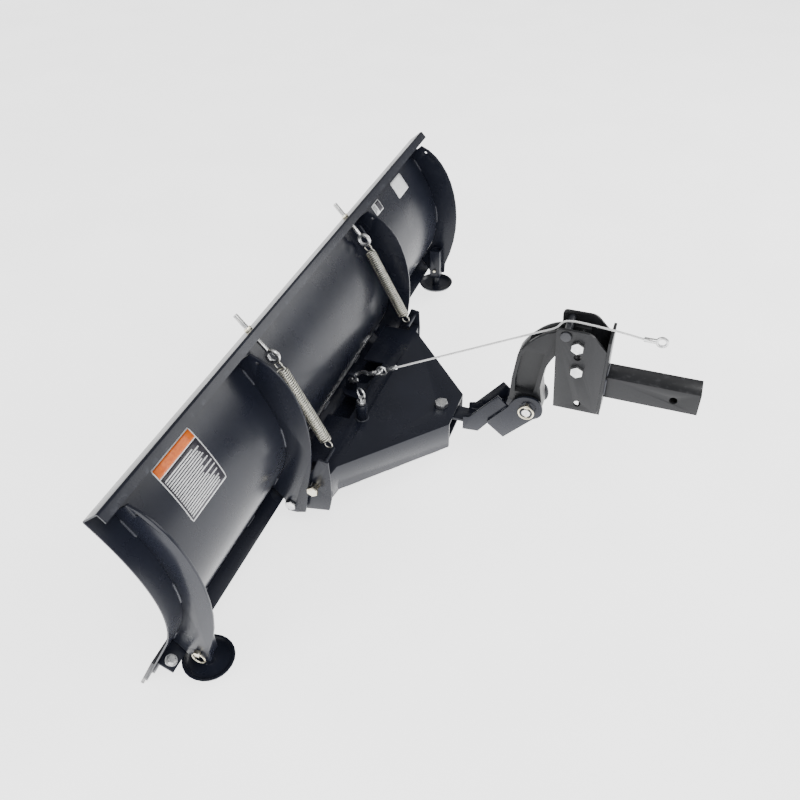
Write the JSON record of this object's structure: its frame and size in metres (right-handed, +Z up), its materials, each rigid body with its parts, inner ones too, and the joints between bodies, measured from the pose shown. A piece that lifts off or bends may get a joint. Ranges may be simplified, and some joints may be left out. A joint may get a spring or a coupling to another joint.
{
  "type": "atv snow plow",
  "caption": "Curved steel snow plow blade with sprung trip ribs, a swivel frame locked by a pull pin, a lifting push arm and a receiver shank mount",
  "frame": {"origin": "middle of the receiver shank's flat top face, 30 mm in front of the hitch pin hole", "axes": "+X across the blade, +Y back towards the vehicle, +Z up"},
  "size_m": [1.524, 0.8986, 0.5164],
  "materials": {
    "blue_black_powder_coat": "glossy blue-black powder coat with soft orange peel",
    "grey_powder_coat": "satin dark grey powder coat",
    "zinc_plate": "bright zinc plate",
    "yellow_zinc": "pale yellow zinc plate",
    "wire_rope": "galvanised stranded wire rope",
    "wear_steel": "painted steel, worn bright along its lower edge"
  },
  "bodies": {
    "mount": {"receiver_shank": "grey_powder_coat", "mount_web_front": "grey_powder_coat", "mount_web_rear": "grey_powder_coat", "hanger_channel": "grey_powder_coat", "cable_guide_pin": "wear_steel", "mount_bolt_upper": "zinc_plate", "mount_bolt_lower": "zinc_plate", "lift_pin": "zinc_plate", "lift_pin_lynch_clip": "yellow_zinc", "cable_end_eye": "zinc_plate", "mount_plate_left": "grey_powder_coat", "mount_plate_right": "grey_powder_coat"},
    "push_arm": {"arm_channel": "blue_black_powder_coat", "index_sector": "blue_black_powder_coat", "lift_lug": "blue_black_powder_coat", "king_bolt": "zinc_plate", "winch_hook": "zinc_plate", "cable_thimble": "zinc_plate", "cable_ferrule": "zinc_plate", "winch_cable": "wire_rope", "arm_cheek_left": "blue_black_powder_coat", "arm_cheek_right": "blue_black_powder_coat"},
    "swivel_frame": {"swivel_pan": "blue_black_powder_coat", "swivel_pan_bottom": "blue_black_powder_coat", "pull_pin_housing": "blue_black_powder_coat", "frame_ear_left": "blue_black_powder_coat", "frame_ear_right": "blue_black_powder_coat", "trip_bolt_left": "zinc_plate", "trip_bolt_right": "zinc_plate", "stop_bolt_left": "yellow_zinc", "stop_bolt_right": "yellow_zinc"},
    "blade": {"moldboard": "blue_black_powder_coat", "wear_bar": "wear_steel", "bottom_angle": "blue_black_powder_coat", "wear_bar_bolt_1": "zinc_plate", "wear_bar_bolt_2": "zinc_plate", "wear_bar_bolt_3": "zinc_plate", "wear_bar_bolt_4": "zinc_plate", "wear_bar_bolt_5": "zinc_plate", "wear_bar_bolt_6": "zinc_plate", "end_rib_left": "blue_black_powder_coat", "end_rib_right": "blue_black_powder_coat", "middle_rib_left": "blue_black_powder_coat", "middle_rib_right": "blue_black_powder_coat", "eye_bolt_left": "zinc_plate", "eye_bolt_right": "zinc_plate", "eye_nut_outer_left": "yellow_zinc", "eye_nut_outer_right": "yellow_zinc", "eye_nut_inner_left": "yellow_zinc", "eye_nut_inner_right": "yellow_zinc", "trip_spring_left": "zinc_plate", "trip_spring_right": "zinc_plate", "skid_sleeve_left": "blue_black_powder_coat", "skid_sleeve_right": "blue_black_powder_coat", "skid_pin_left": "yellow_zinc", "skid_pin_right": "yellow_zinc"},
    "pull_pin": {"pull_pin": "zinc_plate"},
    "skid_left": {"skid_shoe_left": "blue_black_powder_coat"},
    "skid_right": {"skid_shoe_right": "blue_black_powder_coat"}
  },
  "joints": [
    {"name": "lift_pivot", "type": "hinge", "parent": "mount", "child": "push_arm", "pos_m": [0, -0.258, -0.122], "axis": [-1, 0, 0], "range_deg": [0, 28], "deforming": ["winch_cable"]},
    {"name": "blade_swivel", "type": "hinge", "parent": "push_arm", "child": "swivel_frame", "pos_m": [0, -0.462, -0.195], "axis": [0, 0, 1], "range_deg": [-25, 25]},
    {"name": "blade_trip", "type": "hinge", "parent": "swivel_frame", "child": "blade", "pos_m": [0, -0.71, -0.295], "axis": [1, 0, 0], "range_deg": [0, 40], "stiffness_Nm_per_rad": 400, "springref_deg": -17.19, "deforming": ["trip_spring_left", "trip_spring_right"]},
    {"name": "pull_pin_slide", "type": "slide", "parent": "swivel_frame", "child": "pull_pin", "axis": [0, 0, 1], "range_m": [0, 0.02], "stiffness_N_per_m": 800, "springref_m": -0.01},
    {"name": "skid_left_slide", "type": "slide", "parent": "blade", "child": "skid_left", "axis": [0, 0, 1], "range_m": [0, 0.02]},
    {"name": "skid_right_slide", "type": "slide", "parent": "blade", "child": "skid_right", "axis": [0, 0, 1], "range_m": [0, 0.02]}
  ]
}
